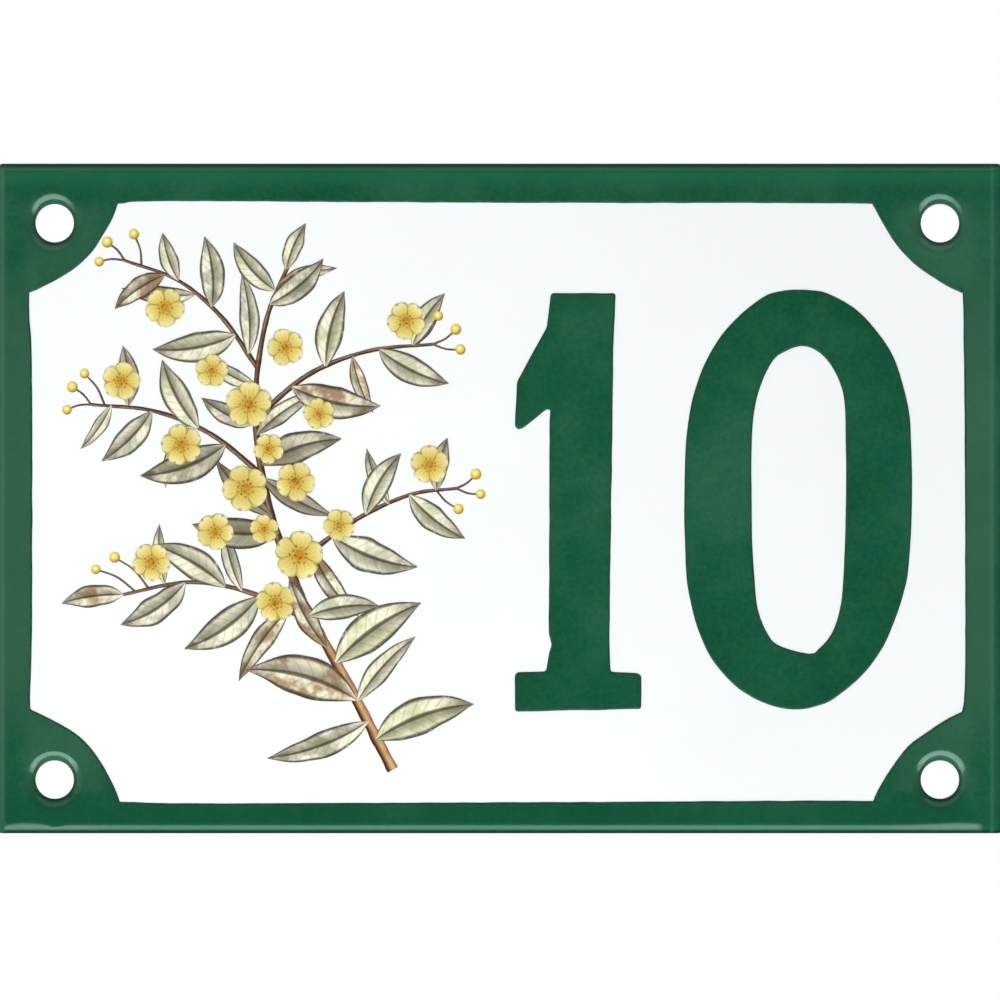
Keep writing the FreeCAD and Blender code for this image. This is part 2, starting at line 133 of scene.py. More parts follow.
# The numeral one's corners, anticlockwise from its foot's bottom left.
ONE_EDGE = [
    (2.27, -31.83), (21.11, -31.42), (21.11, -26.49), (20.6, -26.1), (16.5, -25.85), (16.33, -22.94),
    (16.41, -12.17), (16.74, 8.71), (16.94, 21.95), (17.23, 30.6), (7.61, 30.6), (6.95, 25.5), (2.51, 17.41),
    (2.18, 10.79), (2.67, 10.22), (3.4, 10.39), (6.95, 13.29), (7.52, 13.2), (7.38, 11.4), (7.35, -9.19),
    (7.28, -20.34), (7.7, -21.81), (7.35, -22.94), (6.88, -25.85), (2.59, -25.92), (2.18, -26.49),
]

# The nought's outer edge and its counter, anticlockwise from the top.
NOUGHT_EDGE = [
    (44.6, 31.11), (42, 30.9), (39.26, 30.04), (35.32, 26.85), (32.2, 23.09), (30.09, 19.02), (28.79, 15.04),
    (28.04, 10.93), (27.68, 6.6), (27.48, -2.34), (27.79, -11.15), (28.41, -15.33), (29.53, -19.53),
    (31.5, -23.87), (34.65, -27.59), (37, -29.3), (39.27, -30.44), (42, -31.3), (44.6, -31.5),
    (47.3, -31), (49.81, -29.9), (54.1, -26.32), (56.94, -22.5), (58.8, -18.41), (60.19, -14.27),
    (60.95, -10.06), (61.46, -0.82), (61.34, 7.93), (61.04, 12.61), (60.08, 16.96), (58.58, 21.3),
    (55.95, 25.26), (52.82, 28.42), (48.92, 30.55), (46.8, 31),
]
COUNTER_EDGE = [
    (44.9, 22.69), (42.42, 21.83), (40.69, 20.47), (38.84, 16.75), (37.84, 12.31), (37.53, 6.86),
    (37.59, -4.71), (37.98, -12.09), (38.47, -16.54), (39.95, -20.25), (41.68, -21.98), (46.14, -23.18),
    (47.61, -22.36), (49.34, -20.37), (50.58, -17.05), (51.21, -12.09), (51.61, 1.26), (51.45, 13.05),
    (50.83, 17.01), (49.1, 20.22), (47.12, 22.08),
]


def span(before, start, end, after, spacing):
    """Points every so often along one span of a smooth curve, from its start, without its end."""
    steps = max(1, round(float(np.linalg.norm(end - start)) / spacing))
    for step in range(steps):
        t = step / steps
        yield 0.5 * (2 * start + (end - before) * t
                     + (2 * before - 5 * start + 4 * end - after) * t ** 2
                     + (3 * start - before - 3 * end + after) * t ** 3)


def curve(points, spacing=CURVE_SPACING):
    """Points every so often along a smooth curve through the given ones, without the last."""
    knots = [np.array(point) for point in points]
    knots = [2 * knots[0] - knots[1], *knots, 2 * knots[-1] - knots[-2]]
    return [point for ends in zip(knots, knots[1:], knots[2:], knots[3:]) for point in span(*ends, spacing)]


def closed_curve(points):
    """The same, round a closed outline."""
    knots = [np.array(point) for point in points]
    ends = zip(np.roll(knots, 1, axis=0), knots, np.roll(knots, -1, axis=0), np.roll(knots, -2, axis=0))
    return np.array([point for four in ends for point in span(*four, CURVE_SPACING)])


def straight_outline(points, corner):
    """A closed outline of straight sides, whose corners are rounded off over a short distance."""
    def towards(start, end):
        """The end of the start's rounded corner, on the side that leads to the end."""
        length = float(np.linalg.norm(end - start))
        return start + (end - start) / length * min(corner, length / 3)

    knots = [np.array(point) for point in points]
    traced = []
    for before, here, after in zip(knots[-1:] + knots[:-1], knots, knots[1:] + knots[:1]):
        enter, leave, target = towards(here, before), towards(here, after), towards(after, here)
        for t in (0.0, 0.33, 0.67, 1.0):
            traced.append(enter * (1 - t) ** 2 + here * 2 * t * (1 - t) + leave * t ** 2)
        steps = max(1, round(float(np.linalg.norm(target - leave)) / SIDE_SPACING))
        traced.extend(leave + (target - leave) * step / steps for step in range(1, steps))
    return np.array(traced)


def wobble(loop, reach, scale, seed, apart=(31.0, 17.0, 5.0)):
    """The outline, unsteady by up to about the reach, as a hand-brushed stencil leaves it."""
    moved = []
    for x, z in loop:
        at = Vector((x / scale, z / scale, seed))
        moved.append((x + reach * noise.noise(at), z + reach * noise.noise(at + Vector(apart))))
    return np.array(moved)


def offset(loop, distance):
    """The anticlockwise loop, moved outwards by the distance."""
    ahead = np.roll(loop, -1, axis=0) - loop
    behind = loop - np.roll(loop, 1, axis=0)
    ahead /= np.linalg.norm(ahead, axis=1)[:, None]
    behind /= np.linalg.norm(behind, axis=1)[:, None]
    mean = ahead + behind
    mean /= np.linalg.norm(mean, axis=1)[:, None]
    normal = np.stack([mean[:, 1], -mean[:, 0]], axis=1)
    lean = np.clip((mean * ahead).sum(axis=1), 0.6, 1.0)
    return loop + normal * (distance / lean)[:, None]


def circle(centre, radius, count):
    turns = np.arange(count) * 2 * math.pi / count
    return np.stack([centre[0] + radius * np.cos(turns), centre[1] + radius * np.sin(turns)], axis=1)


def inside(points, loop):
    """Which of the points lie inside the loop."""
    x, z = points[:, 0], points[:, 1]
    crossed = np.zeros(len(points), bool)
    for (x0, z0), (x1, z1) in zip(loop, np.roll(loop, -1, axis=0)):
        spans = (z0 > z) != (z1 > z)
        if z0 != z1:
            crossed ^= spans & (x < (x1 - x0) * (z - z0) / (z1 - z0) + x0)
    return crossed


def clearance(points, loop):
    """Each point's distance from the nearest of the loop's points."""
    return np.min(np.linalg.norm(points[:, None, :] - loop[None, :, :], axis=2), axis=1)


def swell(x, z):
    """How far the fired enamel's surface sinks below its highest level."""
    waves = (reach * noise.noise(Vector((x / length, z / length, place))) for reach, length, place in WAVES)
    return max(0.0, sum(waves, SWELL))


def edge_ease(x, z):
    """Nought at the bend and one from a few millimetres in, so that the swell dies away at the bend."""
    near = min(HALF_WIDTH - BEND_OUTSIDE - abs(x), HALF_HEIGHT - BEND_OUTSIDE - abs(z))
    return min(1.0, max(0.0, near / BEND_EASE))


def front_depth(x, z):
    return FRONT + swell(x, z) * edge_ease(x, z)


def white_depth(x, z):
    return WHITE_LEVEL + swell(x, z) * edge_ease(x, z)


def depths(loop, function):
    return np.array([function(x, z) for x, z in loop])


def quarter_turn(steps):
    """The angles of a quarter turn, cut into so many steps."""
    return [step / steps * math.pi / 2 for step in range(steps + 1)]


def make_object(name, mesh, weld=False):
    """Puts a mesh into the scene, with its faces turned outwards and smoothed, and welded where that is wanted."""
    built = bmesh.new()
    built.from_mesh(mesh)
    if weld:
        bmesh.ops.remove_doubles(built, verts=built.verts, dist=WELD)
        bmesh.ops.delete(built, geom=[vert for vert in built.verts if not vert.link_faces], context="VERTS")
    bmesh.ops.recalc_face_normals(built, faces=built.faces)
    for face in built.faces:
        face.smooth = True
    built.to_mesh(mesh)
    built.free()
    mesh.set_sharp_from_angle(angle=SHARP_ANGLE)
    piece = bpy.data.objects.new(name, mesh)
    bpy.context.collection.objects.link(piece)
    return piece


class Shell:
    """A mesh under construction, in millimetres, with a material index for each face."""

    def __init__(self):
        self.verts = []
        self.faces = []
        self.kinds = []

    def ring(self, loop, depth):
        """Adds a loop of points at a depth, which is one number or one for each point."""
        depths = np.broadcast_to(depth, len(loop))
        first = len(self.verts)
        self.verts.extend((x, y, z) for (x, z), y in zip(loop, depths))
        return list(range(first, first + len(loop)))

    def skin(self, loops):
        """Joins loops of as many points in turn. Each has its points, its depth and the kind of its faces."""
        rings = [self.ring(loop, depth) for loop, depth, _ in loops]
        for ring, other, (_, _, kind) in zip(rings, rings[1:], loops[1:]):
            for face in zip(ring, ring[1:] + ring[:1], other[1:] + other[:1], other):
                self.faces.append(face)
                self.kinds.append(kind)

    def fill(self, outer, holes, depth, spacing, kind):
        """Fills the outline, less its holes, with triangles. depth gives a point's depth from its place."""
        loops = [outer, *holes]
        points = [tuple(point) for loop in loops for point in loop]
        edges = []
        first = 0
        for loop in loops:
            count = len(loop)
            edges.extend((first + index, first + (index + 1) % count) for index in range(count))
            first += count
        low, high = outer.min(axis=0), outer.max(axis=0)
        across = np.arange(low[0] + spacing, high[0], spacing)
        up = np.arange(low[1] + spacing, high[1], spacing)
        grid = np.array([(x, z) for x in across for z in up])
        keep = inside(grid, outer) & (clearance(grid, outer) > spacing * 0.5)
        for hole in holes:
            keep &= ~inside(grid, hole) & (clearance(grid, hole) > spacing * 0.5)
        points.extend(map(tuple, grid[keep]))
        placed, _, triangles, *_ = delaunay_2d_cdt([Vector(point) for point in points], edges, [], 0, 1e-6)
        places = np.array([tuple(point) for point in placed])
        middles = places[np.array([list(triangle) for triangle in triangles])].mean(axis=1)
        wanted = inside(middles, outer)
        for hole in holes:
            wanted &= ~inside(middles, hole)
        first = len(self.verts)
        self.verts.extend((x, depth(x, z), z) for x, z in places)
        for triangle, kept in zip(triangles, wanted):
            if kept:
                self.faces.append(tuple(first + corner for corner in triangle))
                self.kinds.append(kind)

    def build(self, name, materials):
        """The mesh, in metres."""
        mesh = bpy.data.meshes.new(name)
        mesh.from_pydata([tuple(c * MM for c in vert) for vert in self.verts], [], self.faces)
        for material in materials:
            mesh.materials.append(material)
        return mesh

    def finish(self, name, materials):
        """Makes the object, with each face's material."""
        mesh = self.build(name, materials)
        for polygon, kind in zip(mesh.polygons, self.kinds):
            polygon.material_index = kind
        return make_object(name, mesh, weld=True)


# the plate's materials, in the order of its slots; the last is the coat's rounded edge, with its painted shade
GREEN, WHITE, GROUND, EDGE = range(4)


def rounded_rectangle(inset):
    """The plate's outline, inset, with its corners at a radius, anticlockwise from the bottom right."""
    corner = max(CORNER - inset, 0.0)
    half_x = HALF_WIDTH - inset - corner
    half_z = HALF_HEIGHT - inset - corner
    points = []
    for turn, (x, z) in enumerate([(half_x, -half_z), (half_x, half_z), (-half_x, half_z), (-half_x, -half_z)]):
        start = (turn - 1) * math.pi / 2
        for angle in quarter_turn(CORNER_STEPS):
            points.append((x + corner * math.cos(start + angle), z + corner * math.sin(start + angle)))
        half, whole = (half_z, HALF_HEIGHT) if turn % 2 == 0 else (half_x, HALF_WIDTH)
        # about a millimetre each
        steps = round(2 * (whole - BEND_OUTSIDE))
        ahead = (-math.sin(start + math.pi / 2), math.cos(start + math.pi / 2))
        x0, z0 = points[-1]
        for step in range(1, steps):
            points.append((x0 + ahead[0] * 2 * half * step / steps, z0 + ahead[1] * 2 * half * step / steps))
    low = BEND_INSETS[-1] - HALF_HEIGHT
    return np.array([(x, z if z > low else bottom_bend(x, z)) for x, z in points])


def bottom_bend(x, z):
    """The height of a point on the bottom bend, which is gentler than the others and wider near its ends."""
    inset = float(np.interp(z + HALF_HEIGHT, BEND_INSETS, GENTLE_INSETS))
    width = 1.0
    for place, left, right, share in BEND_UNEVEN:
        width += share * math.exp(-((x - place) / (left if x < place else right)) ** 2)
    return inset * width - HALF_HEIGHT


def coat_edge(outline, way, edge, flat):
    """A coat's rounded edge, which rises from an outline on the white, and the strip beside it, as loops."""
    loops = []
    for turn in quarter_turn(SHOULDER_STEPS):
        loop = offset(outline, way * SHOULDER * (1 - math.cos(turn)))
        loops.append((loop, depths(loop, white_depth) - COAT * math.sin(turn), edge))
    top = offset(loops[-1][0], way * GUARD)
    return loops + [(top, depths(top, white_depth) - COAT, flat)]


def hole_centres():
    """The four screw holes' axes and their radius, from the record's pattern of wall screws."""
    screws = next(mount for mount in frame["record"]["mounts"] if mount["name"] == "wall_screws")
    middle_x, _, middle_z = (length / MM for length in screws["pos_m"])
    half_x = screws["dims"]["spacing_x_mm"] / 2
    half_z = screws["dims"]["spacing_y_mm"] / 2
    centres = [(middle_x + sx * half_x, middle_z + sz * half_z) for sx in (-1, 1) for sz in (-1, 1)]
    return centres, screws["dims"]["hole_r_mm"]


def leaned(centre, share):
    """A dish ring's middle: the hole's axis at the throat, and off it by the dish's lean at the outer edge."""
    right, up = DISH_LEAN[2 * int(centre[1] > 0) + int(centre[0] > 0)]
    return centre[0] + right * share, centre[1] + up * share


def dish_profile(throat):
    """A screw hole's section from the flat front to its wall: each point's radius and how far it is sunk."""
    yield DISH_RADIUS + GUARD, 0.0
    sunk = 0.0
    yield DISH_RADIUS, sunk
    for (radius, slope), (next_radius, next_slope) in zip(DISH_SLOPES, DISH_SLOPES[1:]):
        for part in (0.25, 0.75):
            here = math.radians(slope + (next_slope - slope) * part)
            sunk += (radius - next_radius) / 2 * math.tan(here)
            yield radius + (next_radius - radius) * (part + 0.25), sunk
    last_radius, last_slope = DISH_SLOPES[-1]
    start = math.radians(last_slope)
    rounding = (last_radius - throat) / (1 - math.sin(start))
    for step in range(1, THROAT_STEPS + 1):
        turn = start + step / THROAT_STEPS * (math.pi / 2 - start)
        yield throat + rounding * (1 - math.sin(turn)), sunk + rounding * (math.cos(start) - math.cos(turn))


def fold_edges(shell):
    """The bends and the flanges, from the flat front round to the flat inside."""
    front_edge = rounded_rectangle(BEND_OUTSIDE + GUARD)
    loops = [(BEND_OUTSIDE + GUARD, depths(front_edge, front_depth), GREEN)]
    for turn in quarter_turn(BEND_STEPS):
        loops.append((BEND_OUTSIDE * (1 - math.sin(turn)), FRONT + BEND_OUTSIDE * (1 - math.cos(turn)), GREEN))
    loops += [
        (0.0, WALL_RING, GREEN),
        (0.0, -RIM_BEVEL, GREEN),
        (BEVEL_MIDDLE, -BEVEL_MIDDLE, GREEN),
        (RIM_BEVEL, 0.0, GROUND),
        (GAUGE - RIM_BEVEL, 0.0, GROUND),
        (GAUGE - BEVEL_MIDDLE, -BEVEL_MIDDLE, GROUND),
        (GAUGE, -RIM_BEVEL, GROUND),
    ]
    for turn in quarter_turn(INSIDE_STEPS):
        inset = GAUGE + BEND_INSIDE * (1 - math.cos(turn))
        loops.append((inset, FRONT + GAUGE + BEND_INSIDE * (1 - math.sin(turn)), GROUND))
    shell.skin([(rounded_rectangle(inset), depth, kind) for inset, depth, kind in loops])
    return front_edge


def press_hole(shell, centre, throat):
    """A screw hole with its dish in front and its collar behind. Gives the outlines of both on the flats."""
    collar_end = FRONT + GAUGE + COLLAR_HEIGHT
    collar = throat + COLLAR_WALL
    profile = [(radius, FRONT + sunk, GREEN) for radius, sunk in dish_profile(throat)]
    # the collar's rounded end and its flare
    profile += [
        (throat, collar_end - 0.15, GREEN),
        (throat + 0.05, collar_end - 0.04, GROUND),
        (throat + 0.18, collar_end, GROUND),
        (collar - 0.3, collar_end, GROUND),
        (collar - 0.08, collar_end - 0.07, GROUND),
        (collar + 0.05, collar_end - 0.25, GROUND),
        (collar + COLLAR_FLARE * 0.55, FRONT + GAUGE + 0.12, GROUND),
        (collar + COLLAR_FLARE, FRONT + GAUGE, GROUND),
    ]

    def dish_circle(radius):
        return circle(leaned(centre, (radius - throat) / (DISH_RADIUS - throat)), radius, HOLE_STEPS)

    loops = []
    for radius, depth, kind in profile:
        in_dish = depth < FRONT + GAUGE
        loops.append((dish_circle(radius) if in_dish else circle(centre, radius, HOLE_STEPS), depth, kind))
    shell.skin(loops)
    return dish_circle(DISH_RADIUS + GUARD), circle(centre, collar + COLLAR_FLARE, HOLE_STEPS)


def make_plate(materials):
    """The whole plate: green front edge, bends and flanges, the white field, the holes and the dark back."""
    shell = Shell()
    front_edge = fold_edges(shell)
    centres, throat = hole_centres()
    lips, collars = zip(*(press_hole(shell, centre, throat) for centre in centres))

    # the border's shoulder beside the white field
    field = np.array([point for stretch in FIELD_EDGE for point in curve(stretch)])
    field = wobble(field, 0.05, 3.0, 1.5)
    border_edge = coat_edge(field, 1, EDGE, GREEN)
    shell.skin(border_edge)
    border_inside = border_edge[-1][0]

    def lip_depth(x, z):
        """The front's depth, level with the dishes at the holes and with the bends at the edge."""
        ease = 1.0
        for cx, cz in centres:
            away = math.hypot(x - cx, z - cz) - DISH_RADIUS - GUARD - DISH_GAP
            ease = min(ease, max(0.0, away / DISH_EASE))
        return FRONT + swell(x, z) * edge_ease(x, z) * ease

    shell.fill(front_edge, [border_inside, *lips], lip_depth, COAT_SPACING, GREEN)
    shell.fill(field, [], white_depth, FIELD_SPACING, WHITE)
    shell.fill(rounded_rectangle(BEND_OUTSIDE), collars, lambda x, z: FRONT + GAUGE, BACK_SPACING, GROUND)
    return shell.finish("plate_enamel", materials)


def make_numeral(name, outer, counters, materials):
    """A numeral: an island of the green coat, with rounded shoulders, sunk a little into the white."""
    shell = Shell()
    coat, edge = range(2)
    tops = []
    for index, loop in enumerate([outer, *counters]):
        loops = coat_edge(loop, 1 if index else -1, edge, coat)
        shell.skin([(loop, depths(loop, white_depth) + SUNK, edge), *loops])
        tops.append(loops[-1][0])
    shell.fill(tops[0], tops[1:], lambda x, z: white_depth(x, z) - COAT, COAT_SPACING, coat)
    shell.fill(outer, counters, lambda x, z: white_depth(x, z) + SUNK, UNDERSIDE_SPACING, coat)
    return shell.finish(name, materials)


# The printed spray on the left of the field. Each stem has the points that it follows and its two widths.
STEMS = [
    ([(-16, -40.5), (-22.5, -28), (-29.5, -15), (-34.5, -1), (-36.5, 13), (-35, 26),
      (-31.5, 35)], 1.7, 0.6),
    ([(-27.5, -19), (-36, -14.5), (-46, -12.5), (-57, -14.5)], 0.9, 0.45),
    ([(-31.5, -10.5), (-22, -3.5), (-13.5, 0.5), (-6.5, 1.5)], 0.9, 0.45),
    ([(-35.5, 3.5), (-43, 9.5), (-51.5, 13), (-61, 14)], 0.9, 0.45),
    ([(-36.4, 12), (-28.5, 18.5), (-19.5, 22), (-10, 23)], 0.9, 0.45),
    ([(-36.2, 19.5), (-41.5, 27), (-48, 32.5), (-56, 35.5)], 0.8, 0.45),
]
# Each leaf has its foot, its direction in degrees, its length and how far its middle bows to the left.
LEAVES = [
    (-18.5, -36, 20, 15.5, 0.07), (-21.5, -30, 165, 17, -0.08), (-24.5, -24.5, 35, 15.5, 0.06),
    (-28.5, -17.5, 8, 10.5, 0.06), (-36, -14.7, 215, 13.5, 0.07), (-41, -13.2, 150, 12.5, -0.06),
    (-47, -12.6, 213, 11.5, 0.08), (-56.2, -14.4, 188, 9.3, -0.05), (-25, -5.6, -20, 13.5, -0.07),
    (-20, -2.4, 60, 10.5, 0.07), (-13.5, 0.5, -38, 10.5, -0.06), (-9.5, 1.2, 78, 8, 0.05),
    (-33, -5, 175, 13, 0.06), (-35.5, 5, 18, 12.5, 0.07), (-41, 8, 200, 13.5, 0.08),
    (-45, 10.5, 118, 11.5, 0.06), (-52, 13, 225, 10.5, 0.06), (-55.5, 13.8, 95, 9, -0.05),
    (-37, 11, 152, 8.5, 0.05), (-31, 16.6, -12, 13.5, -0.07), (-26, 19.7, 76, 11.5, 0.06),
    (-18, 22.2, -26, 11.5, -0.06), (-13, 22.9, 58, 9, 0.06), (-39.5, 24.4, 190, 12.5, 0.07),
    (-43, 28.6, 96, 10.5, -0.06), (-50, 33.3, 214, 9, -0.06), (-48, 32.5, 108, 7.5, 0.05),
    (-34.4, 29, 40, 10.5, -0.07), (-33.5, 31, 131, 9.5, 0.07), (-31.9, 34.1, 67, 7.5, 0.05),
]
LEAF_WIDTH_SHARE = 0.36
# Slim leaves behind the others, given in the same way.
SLIM_LEAVES = [
    (-19.7, -33.3, 200, 16, 0.06), (-21.3, -30.3, 48, 13, 0.05), (-25.8, -22.2, 118, 12, 0.06),
    (-31.5, -16.6, 235, 13, -0.05), (-50, -12.8, 95, 9, 0.05), (-38.5, -13.8, 105, 10, 0.05),
    (-28, -7.8, -55, 12, -0.06), (-16.5, -0.9, 112, 9, 0.06), (-34, -2.6, 135, 12, 0.06),
    (-35.3, 3, -28, 12, -0.05), (-36.3, 9.5, 35, 11, 0.05), (-46.5, 11, 250, 10, -0.05),
    (-58, 13.9, 235, 8, 0.05), (-22, 21.2, -70, 9, -0.05), (-36, 16.5, 150, 10, 0.05),
    (-45.5, 30.4, 175, 11, 0.05), (-37.5, 21.6, 95, 12, -0.05), (-33, 32, 15, 9, 0.05),
]
SLIM_WIDTH_SHARE = 0.25
# Each flower has its middle, its radius and its turn in degrees.
FLOWERS = [
    (-30, -8.5, 3.7, 10), (-38, 1.5, 3.5, 40), (-30.5, 2.5, 3, 62), (-33.5, -15.5, 3, 28),
    (-52, -9.5, 2.9, 55), (-56.5, 17.5, 2.9, 5), (-47.5, 8, 3.1, 33), (-10.5, 5, 2.9, 20),
    (-14, 26.5, 2.9, 48), (-37.5, 14, 3.5, 15), (-50, 28.5, 3, 60), (-32, 22.5, 2.8, 36),
    (-42.5, -5, 2.8, 66), (-34.5, 7.4, 2.3, 50), (-35.2, -4.6, 2.2, 22), (-24, -4, 2.4, 44),
    (-43, 19, 2.5, 12), (-27, 12.6, 2.4, 30),
]
# Each bud has its middle, its radius and the place where its stalk leaves a stem.
BUDS = [
    (-3.6, 3.6, 0.8, (-6.5, 1.5)), (-2.9, 0.6, 0.7, (-6.5, 1.5)), (-6.2, -1.6, 0.75, (-9.5, 1.2)),
    (-6.6, 25.2, 0.8, (-10, 23)), (-5.9, 22.2, 0.75, (-10, 23)), (-9.2, 27.2, 0.7, (-12.5, 22.9)),
    (-63.8, 16.6, 0.8, (-61, 14)), (-64.6, 13.2, 0.7, (-61, 14)), (-62, 18.6, 0.7, (-59, 14)),
    (-58.6, 38.2, 0.8, (-56, 35.5)), (-59.8, 35.3, 0.7, (-56, 35.5)), (-54.6, 39.4, 0.75, (-53.5, 34.8)),
    (-57.5, -8.8, 0.8, (-52.5, -13.3)), (-60.3, -10.6, 0.7, (-54.5, -13.8)),
]
# how far the lowest sheet of print stands on the white, and how far each stands above the one before
PRINT_LEVEL = 0.012
PRINT_STEP = 0.0009
# points along and across the sheets
STEM_SPACING = 0.7
STEM_COLUMNS = 5
LEAF_ROWS = 22
LEAF_COLUMNS = 9
PETAL_ROWS = 12
PETAL_COLUMNS = 9
DISC_SIZE = 9
DOT_SIZE = 4
# the buds' stalks
STALK_BOW = 0.08
STALK_WIDTHS = (0.34, 0.26)
# a flower's petals, and the dots round its middle: their number, and lengths as shares of the flower's radius
PETALS = 5
MIDDLE_SHARE = 0.19
DOTS = 11
DOT_SHARE = 0.05
DOT_REACHES = (0.3, 0.37)
# the slim leaves' places in the noise start here
SLIM_SEED = 50


class Print(Shell):
    """Fired colour on the white: thin closed sheets, each a little above the one before."""

    def __init__(self, level, step=PRINT_STEP):
        super().__init__()
        self.marks = []
        self.level = level
        self.step = step
        self.count = 0

    def sheet(self, grid, marks=None):
        """Adds a sheet through rows of points. Its marks tell its material the share along it and across it."""
        rows, columns = grid.shape[:2]
        if marks is None:
            along, across = np.meshgrid(np.linspace(0.01, 0.99, rows), np.linspace(0, 1, columns), indexing="ij")
            marks = np.stack([along, across], axis=2)
        first = len(self.verts)
        for sunk in (-self.level, SUNK):
            for row in range(rows):
                for column in range(columns):
                    x, z = grid[row, column]
                    self.verts.append((x, white_depth(x, z) + sunk, z))
                    self.marks.append((self.count + marks[row, column, 0], marks[row, column, 1]))
        under = rows * columns
        at = np.arange(first, first + under).reshape(rows, columns).tolist()
        for above, below in zip(at, at[1:]):
            for face in zip(above, above[1:], below[1:], below):
                self.faces += [face, tuple(vert + under for vert in reversed(face))]
        rim = [row[0] for row in at] + at[-1][1:] + [row[-1] for row in at[-2::-1]] + at[0][-2:0:-1]
        for here, there in zip(rim, rim[1:] + rim[:1]):
            self.faces.append((here, there, there + under, here + under))
        self.count += 1
        self.level += self.step

    def finish(self, name, material):
        mesh = self.build(name, [material])
        marks = mesh.uv_layers.new(name="print")
        marks.data.foreach_set("uv", np.array([self.marks[loop.vertex_index] for loop in mesh.loops]).ravel())
        return make_object(name, mesh)


def ribbon_grid(path, widths, columns):
    """Rows of points across a band that follows the path. widths has a width for each of its points."""
    path = np.array(path)
    ahead = np.gradient(path, axis=0)
    ahead /= np.linalg.norm(ahead, axis=1)[:, None]
    left = np.stack([-ahead[:, 1], ahead[:, 0]], axis=1)
    share = np.linspace(-0.5, 0.5, columns)
    return path[:, None, :] + left[:, None, :] * (np.array(widths)[:, None] * share[None, :])[:, :, None]


def direction(degrees):
    return np.array([math.cos(math.radians(degrees)), math.sin(math.radians(degrees))])


def stem_grid(points, foot_width, tip_width, seed):
    """Rows of points across a lumpy stem, which narrows from its foot to its tip."""
    path = curve(points, STEM_SPACING) + [np.array(points[-1])]
    along = np.linspace(0, 1, len(path))
    lumps = [1 + 0.22 * noise.noise(Vector((x / 1.6, z / 1.6, seed))) for x, z in path]
    return ribbon_grid(path, (foot_width + (tip_width - foot_width) * along) * lumps, STEM_COLUMNS)


def leaf_grid(x, z, degrees, length, bow, seed, width_share=LEAF_WIDTH_SHARE):
    """Rows of points across a leaf, from its narrow foot to its pointed tip."""
    along = np.linspace(0, 1, LEAF_ROWS)
    ahead = direction(degrees) * length
    left = np.array([-ahead[1], ahead[0]])
    path = np.array([x, z]) + along[:, None] * ahead + (4 * bow * along * (1 - along))[:, None] * left
    share = along ** 0.85 * (1 - along) ** 1.05
    share = np.maximum(share / share.max(), 0.07 * (1 - along) + 0.02)
    unsteady = [1 + 0.14 * noise.noise(Vector((t * 4, seed, 2.0))) for t in along]
    return ribbon_grid(path, width_share * length * share * unsteady, LEAF_COLUMNS)


def petal_grid(x, z, degrees, radius, seed):
    """Rows of points across a petal, from the flower's middle to the petal's notched end."""
    along = np.linspace(0.1, 1, PETAL_ROWS)
    ahead = direction(degrees)
    path = np.array([x, z]) + (along * radius)[:, None] * ahead
    share = np.maximum(np.sin(math.pi * along ** 1.7), 0.0) ** 0.55
    grid = ribbon_grid(path, 0.92 * radius * share + 0.02 * radius, PETAL_COLUMNS)
    notch = np.exp(-(np.linspace(-1, 1, PETAL_COLUMNS) / 0.4) ** 2)
    grid -= (along ** 4)[:, None, None] * (notch * 0.13 * radius)[None, :, None] * ahead
    return wobble(grid.reshape(-1, 2), 0.05, 1.3, seed, (7.0, 3.0, 1.0)).reshape(grid.shape)


def disc_grid(x, z, radius, size=DISC_SIZE):
    """Rows of points that fill a disc, and their marks: the place on it, each way from 0 to 1."""
    u, v = np.meshgrid(np.linspace(-1, 1, size), np.linspace(-1, 1, size), indexing="ij")
    across = np.stack([u * np.sqrt(1 - v ** 2 / 2), v * np.sqrt(1 - u ** 2 / 2)], axis=2)
    return np.array([x, z]) + radius * across, 0.5 + 0.49 * across


def make_spray(stem_colour, leaf_colour, flower_colour, heart_colour, bud_colour):
    """The printed spray, stems under leaves and leaves under flowers: its pieces and their slots."""
    stems = Print(PRINT_LEVEL)
    for x, z, radius, (foot_x, foot_z) in BUDS:
        middle = ((x + foot_x) / 2 + STALK_BOW * (z - foot_z), (z + foot_z) / 2 - STALK_BOW * (x - foot_x))
        stems.sheet(stem_grid([(foot_x, foot_z), middle, (x, z)], *STALK_WIDTHS, x))
    for seed, stem in enumerate(STEMS[1:] + STEMS[:1]):
        stems.sheet(stem_grid(*stem, seed))
    leaves = Print(stems.level)
    for seed, leaf in enumerate(SLIM_LEAVES, SLIM_SEED):
        leaves.sheet(leaf_grid(*leaf, seed, SLIM_WIDTH_SHARE))
    for seed, leaf in enumerate(LEAVES):
        leaves.sheet(leaf_grid(*leaf, seed))
    buds = Print(leaves.level, 0.0)
    for x, z, radius, _ in BUDS:
        buds.sheet(*disc_grid(x, z, radius))
    petals = Print(leaves.level + PRINT_STEP)
    for flower, (x, z, radius, turn) in enumerate(FLOWERS):
        for petal in range(PETALS):
            petals.sheet(petal_grid(x, z, turn + 360 / PETALS * petal, radius, flower * PETALS + petal))
    hearts = Print(petals.level, 0.0)
    for x, z, radius, turn in FLOWERS:
        hearts.sheet(*disc_grid(x, z, radius * MIDDLE_SHARE))
        for dot in range(DOTS):
            dot_x, dot_z = np.array([x, z]) + radius * DOT_REACHES[dot % 2] * direction(turn + dot * 360 / DOTS)
            hearts.sheet(*disc_grid(dot_x, dot_z, radius * DOT_SHARE, DOT_SIZE))
    return [
        (stems.finish("spray_stems", stem_colour), "stem_print"),
        (leaves.finish("spray_leaves", leaf_colour), "leaf_print"),
        (buds.finish("spray_buds", bud_colour), "flower_print"),
        (petals.finish("spray_petals", flower_colour), "flower_print"),
        (hearts.finish("spray_hearts", heart_colour), "flower_print"),
    ]


